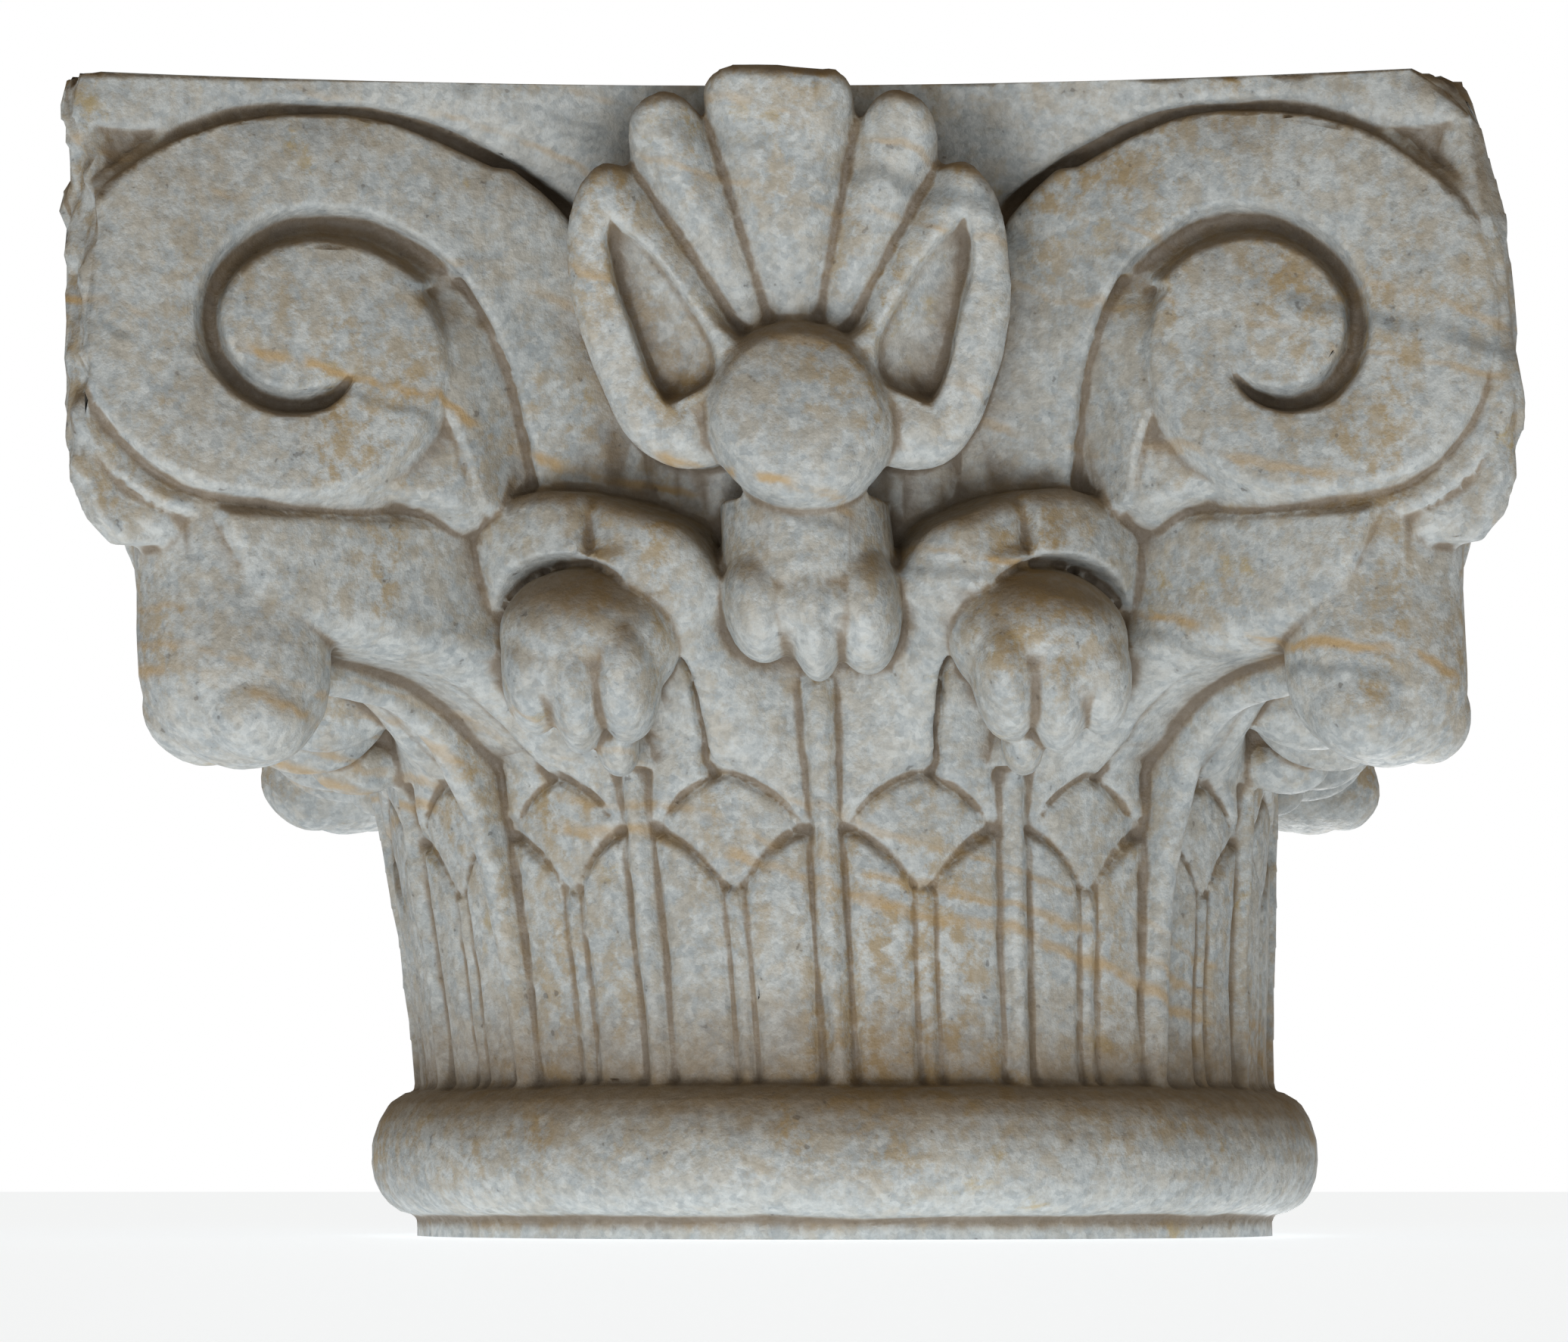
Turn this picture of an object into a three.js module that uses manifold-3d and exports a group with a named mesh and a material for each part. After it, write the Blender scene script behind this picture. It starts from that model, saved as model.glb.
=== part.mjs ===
// A corinthian capital carved from one block of marble, in millimetres, with +Z up.
// The origin is the centre of the round bed that stands on the column shaft. The front face looks along -Y.
// A point on a face is given as x to the right, q outwards from the axis and z upwards.
import * as THREE from 'three';
import { mergeVertices } from 'three/addons/utils/BufferGeometryUtils.js';
import Module from 'manifold-3d';

const wasm = await Module();
wasm.setup();

// The block and its beds
const height = 450;
const bedRadius = 181;
const filletHeight = 9;
const torusRadius = 200.6;
const torusTop = 61;
const neckRadius = 172;
const lipRadius = 222;
const abacusHalfWidth = 274;
const abacusMiddle = 236;
const abacusArris = 12;
const abacusDepth = 44;
const abacusCove = 15;
const abacusFoot = 24;
const bellInSlab = 20;
const lean = 0.059;

// The ring of reeds round the bell
const reedUnits = 16;
const reedHalfWidth = 28.5;
const reedRelief = 8;
const ribRelief = 4;
const reedShoulder = 138;
const reedTop = 160.5;
const ribWidth = 7;
const ogiveRelief = 5;
const ogiveTop = 185;
const stemWidth = 12;
const stemRelief = 11;

// The curled leaves on each side of the middle of a face
const leafAngle = 24;
const bulbSize = { wide: 33, deep: 38, high: 41 };
const bulbPlace = { rho: 231, z: 223 };
const hoodHalfWidth = 57;
const hoodTop = 291;
const hoodReach = 256;
const hoodGap = 6;

// The corner leaves, which end in balls under the volutes
const cornerBallRadius = 38;
const cornerBallReach = 316;
const cornerBallHeight = 222;
const cornerWebHalfWidth = 75;
const volutesFoot = 292;

// The middle of a face: knob, ball and palmette
const knobSize = { wide: 33, deep: 36, high: 34 };
const knobPlace = { q: 216, z: 249 };
const ballRadius = 37;
const ballPlace = { q: 243, z: 318 };
const palmetteTop = 448;
const palmetteReach = 300;
const palmetteHalfWidth = 85;
const palmetteBack = 178;
const palmetteRoot = 345;
const palmetteLobes = [{ edge: 18.6, length: 103 }, { edge: 40, length: 103 }, { edge: 62, length: 99 }];
const hollowDepth = 16;
const armOutline = [
  [24, 300], [45, 297], [58, 302], [70, 314.6], [76.6, 330.6], [81.7, 349], [palmetteHalfWidth, 368],
  [84, 387], [78, 400], [68, 398], [70, 376.5], [64, 353], [56.6, 332], [46, 326], [30, 330],
];
const hollowOutline = [
  [66, 390], [70, 376.5], [64, 353], [56.6, 330], [40, 322], [20, 330], [20, 350], [41, 366],
];

// The volutes at the corners
const voluteCentre = { x: 183, z: 355 };
const voluteRadius = 85;
const voluteTurnStart = 130;
const voluteShrink = 0.0047;
const channelWidth = 13.5;
const channelDepth = 11;
const creaseDepth = 16;
const voluteFaceReach = 239;
const voluteFaceStart = 130;
const voluteFaceSlope = 0.29;
const stemBendTop = 400;
const stemFallBack = 0.2;
const stemOutline = [[134, 375], [121, 363], [113, 343], [105, 297], [61, 292], [66, 330], [75, 370], [86, 402]];
const creaseOutline = [[100, 296], [150, 300], [150, 372], [130, 380], [115, 350]];
const eyeEnd = 385;
const cornerStripWidth = 13;
const cornerReach = 390;
const cornerHalfWidth = 42;
const cornerSetBack = 82;

// The corner that is broken off, at the top right of the front
const chipPlace = [292, -276, height - 4];
const chipSize = [60, 40, 26];
const chipTurns = [20, -12, 42];

// How finely the round forms are faceted
const roundSides = 48;
const lumpSides = 10;
const lumpRows = 6;
const surfaceTolerance = 2;

const faces = [0, 90, 180, 270];
const sides = [-1, 1];

function rad(degrees) {
  return degrees * Math.PI / 180;
}

function smooth(t) {
  const k = Math.min(1, Math.max(0, t));
  return k * k * (3 - 2 * k);
}

// Reads a curve given by a few knots, [place, value], as straight runs between them.
function along(knots, place) {
  if (place <= knots[0][0]) return knots[0][1];
  for (let i = 1; i < knots.length; i += 1) {
    const [a, va] = knots[i - 1];
    const [b, vb] = knots[i];
    if (place <= b) return va + (vb - va) * (place - a) / (b - a);
  }
  return knots[knots.length - 1][1];
}

// Radius of the plain bell at a height.
function bell(z) {
  const t = Math.min(1, Math.max(0, (z - torusTop) / (height - bellInSlab - torusTop)));
  return neckRadius + (lipRadius - neckRadius) * Math.pow(t, 1.35);
}

function toSolid(geometry) {
  geometry.deleteAttribute('normal');
  geometry.deleteAttribute('uv');
  const merged = mergeVertices(geometry, 1e-4);
  return new wasm.Manifold(new wasm.Mesh({
    numProp: 3,
    vertProperties: Float32Array.from(merged.attributes.position.array),
    triVerts: Uint32Array.from(merged.index.array),
  }));
}

// Moves every vertex of a geometry by a function of its old place, which gives x, q and z.
function shape(geometry, place) {
  const at = geometry.attributes.position;
  for (let i = 0; i < at.count; i += 1) {
    const [x, q, z] = place(at.getX(i), at.getY(i), at.getZ(i));
    at.setXYZ(i, x, -q, z);
  }
  return toSolid(geometry);
}

// A relief with a grid on its front: place(u, v, w) has u across, v up and w from the back (0) to the front (1).
function relief(across, up, place) {
  const box = new THREE.BoxGeometry(1, 1, 1, across, 1, up);
  return shape(box, (x, y, z) => place(x + 0.5, z + 0.5, 0.5 - y));
}

// A flat outline of [across, up] points, given a front and a back by place(across, up, w).
function plate(outline, place) {
  const flat = new THREE.Shape(outline.map(([a, b]) => new THREE.Vector2(a, b)));
  const slab = new THREE.ExtrudeGeometry(flat, { depth: 1, bevelEnabled: false });
  return shape(slab, (a, b, w) => place(a, b, w));
}

// A rounded lump: the sphere's direction is given to place(across, out, up).
function lump(columns, rows, place) {
  const ball = new THREE.SphereGeometry(1, columns, rows);
  ball.rotateX(Math.PI / 2);
  return shape(ball, (x, y, z) => place(x, -y, z));
}

// A hanging drop: round below its middle, straight-sided above it up to a flat top.
function drop(columns, rows, size, place) {
  return lump(columns, rows, (x, out, up) => {
    const spread = up > 0 ? 1 / Math.max(0.05, Math.hypot(x, out)) : 1;
    const keep = up > 0.99 ? 0 : spread;
    const tall = up > 0 ? place.top - place.z : size.high;
    const [a, b, c] = size.lobes ? lobed(x * keep, out * keep, up, size) : [x * keep * size.wide, out * keep * size.deep, 0];
    return [a, place.out + b, place.z + (up > 0 ? up * tall : size.lobes ? c : up * tall)];
  });
}

// A half-round stem whose middle line runs through [out, z] points, in the plane x = 0.
function stem(points, width, steps) {
  const bar = new THREE.BoxGeometry(1, 1, 1, 2, 1, steps);
  const path = new THREE.SplineCurve(points.map(([r, z]) => new THREE.Vector2(r, z)));
  return shape(bar, (x, y, z) => {
    const at = path.getPoint(z + 0.5);
    const front = 0.5 - y;
    const crown = x === 0 ? 1 : 0.45;
    const out = front > 0.5 ? stemRelief * (crown - 1) : -2.2 * stemRelief;
    return [x * width, at.x + out, at.y];
  });
}

// Turns a solid about the axis of the column; 0 is the front face and angles run to the right.
function turned(solid, degrees) {
  return solid.rotate([0, 0, degrees]);
}

function mirrored(solid, side) {
  return side < 0 ? solid.mirror([1, 0, 0]) : solid;
}

function bellAndTorus() {
  const torus = [
    [0, 0], [bedRadius, 0], [bedRadius, filletHeight], [bedRadius + 13, filletHeight + 5],
    [torusRadius - 1.5, 23], [torusRadius - 0.5, 40], [torusRadius - 7, 53], [neckRadius + 6, torusTop],
    [neckRadius, torusTop],
  ];
  const flare = [150, 200, 260, 330, height - bellInSlab].map((z) => [bell(z), z]);
  const profile = [...torus, ...flare, [0, height - bellInSlab]];
  const round = new THREE.LatheGeometry(profile.map(([r, z]) => new THREE.Vector2(r, z)), roundSides);
  round.rotateX(Math.PI / 2);
  return toSolid(round);
}

// The reeds: two tall panels with round heads and a rib between them, under a pointed ogive.
function reedUnit() {
  const half = reedHalfWidth;
  const panel = [
    [ribWidth / 2, torusTop - 4], [half, torusTop - 4], [half, 150], [25, reedTop],
    [10, 147], [ribWidth / 2, reedShoulder],
  ];
  const onBell = (proud) => (s, z, w) => {
    const r = bell(z) + (w > 0.5 ? proud : -8);
    const angle = s / (neckRadius + reedRelief);
    return [r * Math.sin(angle), r * Math.cos(angle), z];
  };
  const left = panel.map(([s, z]) => [-s, z]).reverse();
  const rib = [
    [-ribWidth / 2 - 1, torusTop - 4], [ribWidth / 2 + 1, torusTop - 4],
    [ribWidth / 2 + 1, reedShoulder], [-ribWidth / 2 - 1, reedShoulder],
  ];
  const ogive = [[0, reedShoulder + 2], [27, reedTop + 2], [13, 180], [0, ogiveTop], [-13, 180], [-27, reedTop + 2]];
  return [
    plate(panel, onBell(reedRelief)),
    plate(left, onBell(reedRelief)),
    plate(rib, onBell(ribRelief)),
    plate(ogive, onBell(ogiveRelief)),
  ];
}

// Three hanging lobes: creases run down the front of the lump, deeper towards its foot.
function lobed(x, out, up, size) {
  const around = Math.atan2(x, out);
  const crease = Math.pow(Math.abs(Math.sin(1.5 * around + Math.PI / 2)), 0.6);
  const low = smooth((0.35 - up) / 0.9);
  const pinch = 1 - 0.2 * low * (1 - crease);
  return [x * size.wide * pinch, out * size.deep * pinch, up * size.high * (1 - 0.1 * low * (1 - crease))];
}

function curledLeaf() {
  const bulb = (grow) => lump(lumpSides, lumpRows, (x, out, up) => {
    const [a, b, c] = lobed(x, out, up, bulbSize);
    const swell = 1 + grow / bulbSize.wide;
    return [a * swell, bulbPlace.rho + b * swell, bulbPlace.z + c * swell];
  });
  const outline = [[0, hoodTop - 3], [0.18, hoodTop], [0.5, hoodTop - 7], [0.75, hoodTop - 17], [1, hoodTop - 34]];
  const foot = ogiveTop + 4;
  const hood = relief(6, 3, (u, v, w) => {
    const across = 2 * u - 1;
    const z = foot + v * (along(outline, Math.abs(across)) - foot);
    const wide = hoodHalfWidth - 9 + 9 * smooth((z - foot) / 60);
    const rise = smooth((z - foot) / 50);
    const fall = Math.min(1, across * across * 0.8 + Math.pow(Math.max(0, (z - 240) / 51), 2));
    const front = bell(z) + 2 + rise * (hoodReach - bell(z) - 34 * fall);
    return [across * wide, w > 0.5 ? front : bell(z) - 25, z];
  });
  const rooted = stem([[neckRadius + stemRelief, torusTop - 4], [bell(120) + stemRelief, 120],
    [bell(165) + stemRelief, 165], [bulbPlace.rho - 22, ogiveTop + 12]], stemWidth, 3);
  return [hood.subtract(bulb(hoodGap)), bulb(0), rooted];
}

// The large plain leaf at a corner, made about the diagonal: its underside slopes out to the ball.
function cornerLeaf() {
  const underside = [[ogiveTop + 2, bell(ogiveTop) + 3], [206, 215], [222, 238], [238, 273], [260, 290], [height, 296]];
  const web = relief(6, 5, (u, v, w) => {
    const lateral = (2 * u - 1) * cornerWebHalfWidth;
    const z = [ogiveTop + 2, 206, 222, 238, 262, volutesFoot + 12][Math.round(v * 5)];
    const fall = 1 - smooth((Math.abs(lateral) - 30) / (cornerWebHalfWidth - 30));
    const front = bell(z) - 3 + fall * (along(underside, z) - bell(z));
    return [lateral, w > 0.5 ? front : bell(z) - 30, z];
  });
  const round = { wide: cornerBallRadius, deep: cornerBallRadius, high: cornerBallRadius, lobes: false };
  const ball = drop(lumpSides + 2, lumpRows + 2, round,
    { out: cornerBallReach, z: cornerBallHeight, top: volutesFoot + 12 });
  const rib = stem([[neckRadius + stemRelief, torusTop - 4], [bell(120) + stemRelief, 120], [201, 170],
    [222, 204], [252, 218], [290, 219]], stemWidth + 3, 5);
  return [web, ball, rib];
}

function knobAndBall() {
  const knob = drop(lumpSides + 2, lumpRows, { ...knobSize, lobes: true },
    { out: knobPlace.q, z: knobPlace.z, top: ballPlace.z - ballRadius + 8 });
  const ball = lump(lumpSides, lumpRows, (x, out, up) => (
    [x * ballRadius, ballPlace.q + out * ballRadius, ballPlace.z + up * ballRadius]));
  const rooted = stem([[neckRadius + stemRelief, torusTop - 4], [bell(130) + stemRelief, 130],
    [bell(190) + stemRelief, 190], [knobPlace.q - 6, knobPlace.z - 24]], stemWidth, 3);
  return [knob, ball, rooted];
}

// Five lobes that fan out from the top of the ball and lean forwards; the outer pair curl down as arms.
function palmette() {
  const root = { z: palmetteRoot, q: ballPlace.q };
  const lobes = palmetteLobes;
  const lobeAngles = [-62, -56, -46, -40, -34, -24, -18.6, -11, 0, 11, 18.6, 24, 34, 40, 46, 56, 62];
  const fan = relief(lobeAngles.length - 1, 3, (u, v, w) => {
    const angle = lobeAngles[Math.round(u * (lobeAngles.length - 1))];
    const away = Math.abs(angle);
    const lobe = lobes.find(({ edge }) => away <= edge);
    const seam = Math.min(1, Math.min(...lobes.map(({ edge }) => Math.abs(away - edge))) / 6);
    const length = lobe.length * (0.88 + 0.12 * seam);
    const reach = v * length;
    const up = reach * Math.cos(rad(angle));
    const tip = v > 0.9 ? 9 : 0;
    const lift = (palmetteReach - root.q - 6) * Math.pow(up / (palmetteTop - root.z), 0.9);
    const front = root.q + 6 + lift - (1 - seam) * 9 * v - tip;
    return [reach * Math.sin(rad(angle)), w > 0.5 ? front : palmetteBack, root.z + up];
  });
  const leanAt = (z) => root.q + 34 * (z - 300) / 100;
  const parts = [fan];
  for (const side of sides) {
    const place = (drop) => (a, z, w) => [a, w > 0.5 ? leanAt(z) - drop : palmetteBack - 4, z];
    parts.push(mirrored(plate(armOutline, place(0)), side));
    parts.push(mirrored(plate(hollowOutline, place(hollowDepth)), side));
  }
  return parts;
}

// Distance of the volute's edge from its centre, by the angle run clockwise from the top.
function voluteEdge(turn) {
  const shrunk = Math.max(0, Math.min(turn, eyeEnd) - voluteTurnStart);
  return voluteRadius * Math.exp(-voluteShrink * shrunk);
}

function volutePoint(turn, radius) {
  return [voluteCentre.x + radius * Math.sin(rad(turn)), voluteCentre.z + radius * Math.cos(rad(turn))];
}

// Depth of the volute's face: it follows the hollow side of the abacus, and the stem falls back below.
function voluteFace(x, z) {
  const toStem = smooth((voluteFaceStart + 7 - x) / 30);
  const fall = stemFallBack * toStem * Math.max(0, stemBendTop - z);
  return voluteFaceReach + voluteFaceSlope * (x - voluteFaceStart) - fall;
}

// The channel between the turns of the scroll: its inner edge and its width, by the same angle.
const channelInner = [[-72, 42], [-5, 31], [45, 25.5], [115, 27], [165, 25], [228, 19.5]];
const channelWide = [[-72, 1.05], [30, 0.93], [110, 1], [165, 0.95], [228, 0.1]];

function volute() {
  const outline = [];
  for (let turn = -45; turn <= 290; turn += 22) {
    outline.push(volutePoint(turn, voluteEdge(turn)));
  }
  outline.push(...stemOutline);
  const channel = [];
  const turns = [-72, -36, 0, 36, 72, 108, 144, 180, 205, 228];
  for (const turn of turns) {
    channel.push(volutePoint(turn, along(channelInner, turn) + channelWidth * along(channelWide, turn)));
  }
  for (const turn of turns.reverse()) {
    channel.push(volutePoint(turn, along(channelInner, turn)));
  }
  const back = (x) => Math.max(150, x - 4);
  const scroll = plate(outline, (x, z, w) => [x, w > 0.5 ? voluteFace(x, z) : back(x), z]);
  const cutter = plate(channel, (x, z, w) => [x, voluteFace(x, z) + (w > 0.5 ? 20 : -channelDepth), z]);
  const facet = plate(creaseOutline, (x, z, w) => [x, w > 0.5 ? voluteFace(x, z) - creaseDepth : back(x), z]);
  return scroll.subtract(cutter).add(facet);
}

// The mass that fills the corner round the two scrolls, a little behind their faces, made about the diagonal.
function cornerBlock() {
  const nose = [[262, 340], [266, 368], [276, 381], [292, 387], [335, cornerReach], [400, cornerReach - 3], [height - 6, 385]];
  const strip = cornerStripWidth / 2;
  const lateral = [-cornerHalfWidth, -strip - 3, -strip, strip, strip + 3, cornerHalfWidth];
  const setBack = [cornerSetBack, 14, 0, 0, 14, cornerSetBack];
  return relief(lateral.length - 1, nose.length - 1, (u, v, w) => {
    const [z, reach] = nose[Math.round(v * (nose.length - 1))];
    const column = Math.round(u * (lateral.length - 1));
    const outer = setBack[column] === cornerSetBack;
    return [lateral[column], w > 0.5 ? reach - setBack[column] : 250, z + (outer && z < 300 ? 16 : 0)];
  });
}

// The hollow-sided slab at the top, coved in below its arris, with its corners cut across.
function abacus() {
  const bow = abacusHalfWidth - abacusMiddle;
  const side = [];
  for (let i = 0; i <= 10; i += 1) {
    const x = (abacusHalfWidth - 5) * (i / 5 - 1);
    side.push([x, abacusMiddle + bow * (x / abacusHalfWidth) ** 2]);
  }
  const plan = faces.flatMap((face) => side.map(([x, q]) => {
    const at = new THREE.Vector2(x, -q).rotateAround(new THREE.Vector2(), rad(face));
    return at;
  }));
  const slab = new THREE.ExtrudeGeometry(new THREE.Shape(plan), { depth: abacusDepth, steps: 3, bevelEnabled: false });
  const levels = [[0, abacusFoot], [1, abacusCove], [2, 3], [3, 0]];
  const heights = [height - abacusDepth, height - abacusDepth * 0.55, height - abacusArris, height];
  return shape(slab, (x, y, z) => {
    const step = Math.round(z / abacusDepth * 3);
    const draw = 1 - levels[step][1] / abacusMiddle;
    return [x * draw, -y * draw, heights[step]];
  });
}

// A chip is a slanted box taken off.
function chip(centre, size, turns) {
  const box = new THREE.BoxGeometry(...size);
  box.applyMatrix4(new THREE.Matrix4().makeRotationFromEuler(new THREE.Euler(...turns.map(rad))));
  box.translate(...centre);
  return toSolid(box);
}

// The block is solid marble, so a space shut in between two carved forms is filled.
function solidInside(solid) {
  const shells = solid.decompose().filter((shell) => shell.volume() > 0);
  return shells.reduce((largest, shell) => (shell.volume() > largest.volume() ? shell : largest));
}

function capital() {
  const parts = [bellAndTorus(), abacus()];
  const unit = reedUnit();
  for (let i = 0; i < reedUnits; i += 1) {
    for (const piece of unit) parts.push(turned(piece, (i + 0.5) * 360 / reedUnits));
  }
  const leaf = curledLeaf();
  const corner = [...cornerLeaf(), cornerBlock()];
  const middle = [...knobAndBall(), ...palmette()];
  const scroll = volute();
  for (const face of faces) {
    for (const piece of middle) parts.push(turned(piece, face));
    for (const piece of corner) parts.push(turned(piece, face + 45));
    for (const side of sides) {
      for (const piece of leaf) parts.push(turned(piece, face + side * leafAngle));
      parts.push(turned(mirrored(scroll, side), face));
    }
  }
  let whole = parts[0];
  for (const piece of parts.slice(1)) whole = whole.add(piece);
  whole = whole.subtract(chip(chipPlace, chipSize, chipTurns));
  return solidInside(whole.asOriginal().simplify(surfaceTolerance));
}

// The block leans to the left of its own bed, evenly from the neck up.
function leaning(x, z) {
  return x - lean * Math.max(0, z - torusTop);
}

function toGeometry(solid) {
  const mesh = solid.getMesh();
  const geometry = new THREE.BufferGeometry();
  const at = new THREE.BufferAttribute(new Float32Array(mesh.vertProperties), 3);
  for (let i = 0; i < at.count; i += 1) at.setX(i, leaning(at.getX(i), at.getZ(i)));
  geometry.setAttribute('position', at);
  geometry.setIndex(new THREE.BufferAttribute(new Uint32Array(mesh.triVerts), 1));
  geometry.computeVertexNormals();
  return geometry;
}

const marble = new THREE.MeshStandardMaterial({ color: '#c9cac4', roughness: 0.62, metalness: 0 });
const carved = new THREE.Mesh(toGeometry(capital()), marble);
carved.name = 'marble_capital';

const group = new THREE.Group();
group.add(carved);
export default group;
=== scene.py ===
# %% [markdown]
# # A carved marble capital
# The real object is one block of coarse white marble. A mason cut it into a round foot ring, a bell with
# reeds and leaves round it, two scrolls at each corner and a hollow-sided slab on top. The measured
# solid is loaded first, because the finished carving has to stand exactly where it stands.

# %% Load the frame
import math

import bmesh
import bpy
import numpy as np
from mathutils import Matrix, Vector


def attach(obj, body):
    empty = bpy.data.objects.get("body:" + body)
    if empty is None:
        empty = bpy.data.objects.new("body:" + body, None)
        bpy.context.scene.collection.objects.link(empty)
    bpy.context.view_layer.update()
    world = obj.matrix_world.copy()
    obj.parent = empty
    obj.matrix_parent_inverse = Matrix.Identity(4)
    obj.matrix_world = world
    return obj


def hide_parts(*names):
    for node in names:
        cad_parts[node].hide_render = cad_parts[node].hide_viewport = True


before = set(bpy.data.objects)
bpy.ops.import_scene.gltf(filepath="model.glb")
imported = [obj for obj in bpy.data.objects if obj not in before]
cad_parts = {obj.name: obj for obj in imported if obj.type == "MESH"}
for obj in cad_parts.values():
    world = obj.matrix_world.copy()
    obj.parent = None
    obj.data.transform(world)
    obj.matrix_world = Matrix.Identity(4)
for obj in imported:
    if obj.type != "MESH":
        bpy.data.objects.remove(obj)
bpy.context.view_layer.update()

# %% [markdown]
# ## The camera
# A capital is photographed from below and from the front. Here the eye is just above the foot ring and
# looks up a little, about 2.5 m away, through a long lens, so the upright lines stay nearly upright.

# %% Camera
EYE = (0.021, -2.525, 0.0242)
LENS = 136.0
SENSOR = 36.0
PITCH = 4.892
YAW = 1.06

camera_data = bpy.data.cameras.new("camera")
camera_data.sensor_width = SENSOR
camera_data.lens = LENS
camera = bpy.data.objects.new("camera", camera_data)
bpy.context.scene.collection.objects.link(camera)
bpy.context.scene.camera = camera
camera.location = EYE
camera.rotation_euler = (math.radians(90 + PITCH), 0.0, math.radians(YAW))
print("camera", LENS, "mm lens,", -EYE[1], "m away, looking up", PITCH, "degrees")

# %% [markdown]
# ## Measures and small helpers
# All sizes are in millimetres, as a mason would take them. A point is given in the frame of one face:
# `x` to the right, `q` outwards from the axis of the column, `z` upwards. The carving could be sculpted
# by hand, but here every form is a function of an angle or a height, so that each curve can be measured,
# read and changed.

# %% Measures
HEIGHT = 450.0
SPARE = 6.0
TORUS_TOP = 61.0
NECK = 170.5
LIP = 222.0
MID_LEAF = 24.0
CORNER = 45.0
GIRTH = 183.0
FACES = (0, 90, 180, 270)


def smooth(t):
    """0 below 0, 1 above 1 and a soft S between."""
    k = np.clip(t, 0.0, 1.0)
    return k * k * (3.0 - 2.0 * k)


def curve(knots, place):
    """Reads a curve given by [place, value] knots, with rounded joints between the runs."""
    spots = np.array([k[0] for k in knots], float)
    values = np.array([k[1] for k in knots], float)
    slope = np.gradient(values, spots)
    place = np.clip(place, spots[0], spots[-1])
    i = np.clip(np.searchsorted(spots, place, side="right") - 1, 0, len(spots) - 2)
    width = spots[i + 1] - spots[i]
    t = (place - spots[i]) / width
    a = (1 + 2 * t) * (1 - t) ** 2 * values[i] + t * (1 - t) ** 2 * width * slope[i]
    b = t * t * (3 - 2 * t) * values[i + 1] + t * t * (t - 1) * width * slope[i + 1]
    return a + b


def bump(distance, width):
    """1 in the middle of a groove or ridge, fading out over a width."""
    return np.exp(-(distance / width) ** 2)


def bell(z):
    """Radius of the plain bell under the carving."""
    t = np.clip((z - TORUS_TOP) / (HEIGHT - 20.0 - TORUS_TOP), 0.0, 1.0)
    return NECK + (LIP - NECK) * t ** 1.35


print("block", HEIGHT, "mm high, neck", 2 * NECK, "mm across")

# %% [markdown]
# ## Closed forms
# The real capital is one stone, but its forms are cut one after another. They could be joined with
# booleans, which often fail where soft forms touch. So every part starts as its own closed shell: a
# sheet of points with a front, a back and four edges. They run deep into the block, overlap each other,
# and are fused later. `sheet` makes one from a function that gives the front and the back of each point,
# and `lump` makes a ball.

# %% Collecting shells
shell_points = []
shell_faces = []
shell_count = 0


def keep_shell(points, faces):
    """Adds a shell's points, in millimetres, and its quads to the heap that is fused later."""
    global shell_count
    shell_points.append(points)
    shell_faces.append(faces + shell_count)
    shell_count += len(points)


def grid_quads(rows, columns, start=0, wrap=False):
    """Quads of a grid of points; with wrap the last column joins the first."""
    last = columns if wrap else columns - 1
    r, c = np.meshgrid(np.arange(rows - 1), np.arange(last), indexing="ij")
    a = r * columns + c
    b = r * columns + (c + 1) % columns
    quads = np.stack([a, b, b + columns, a + columns], axis=-1).reshape(-1, 4)
    return quads + start


def sheet(across, up, place):
    """A closed shell over a grid; place(u, v, front) gives x, q and z."""
    v, u = np.meshgrid(np.linspace(0, 1, up), np.linspace(0, 1, across), indexing="ij")
    front = np.stack(np.broadcast_arrays(*place(u, v, True)), axis=-1).reshape(-1, 3)
    back = np.stack(np.broadcast_arrays(*place(u, v, False)), axis=-1).reshape(-1, 3)
    size = across * up
    faces = [grid_quads(up, across), grid_quads(up, across, size)[:, ::-1]]
    rim = np.concatenate([
        np.arange(across), across * np.arange(1, up) + across - 1,
        size - 2 - np.arange(across - 1), across * np.arange(up - 2, 0, -1),
    ])
    nxt = np.roll(rim, -1)
    faces.append(np.stack([nxt, rim, rim + size, nxt + size], axis=-1))
    return np.concatenate([front, back]), np.concatenate(faces)


def lump(place, rows=40, columns=64):
    """A closed ball of directions; place(across, out, up) gives x, q and z."""
    polar = np.linspace(0.02, math.pi - 0.02, rows)[:, None]
    around = np.linspace(0, 2 * math.pi, columns, endpoint=False)[None, :]
    across = np.sin(polar) * np.cos(around)
    out = np.sin(polar) * np.sin(around)
    up = -np.cos(polar) + 0 * around
    points = np.stack(np.broadcast_arrays(*place(across, out, up)), axis=-1)
    caps = points[[0, -1]].mean(axis=1)
    points = np.concatenate([points.reshape(-1, 3), caps])
    faces = [grid_quads(rows, columns, wrap=True)[:, ::-1]]
    ring = np.arange(columns)
    pair = (ring + 1) % columns
    top = (rows - 1) * columns
    pole = np.full(columns, rows * columns)
    faces.append(np.stack([ring, pair, pole, pole], axis=-1))
    faces.append(np.stack([top + pair, top + ring, pole + 1, pole + 1], axis=-1))
    return points, np.concatenate(faces)


def carve(form, degrees, side=1):
    """Keeps a form turned to its angle round the block; side -1 mirrors it first."""
    points, faces = form
    x = points[:, 0] * side
    y = -points[:, 1]
    c, s = math.cos(math.radians(degrees)), math.sin(math.radians(degrees))
    turned = np.stack([x * c - y * s, x * s + y * c, points[:, 2]], axis=-1)
    keep_shell(turned, faces if side > 0 else faces[:, ::-1])


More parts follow.
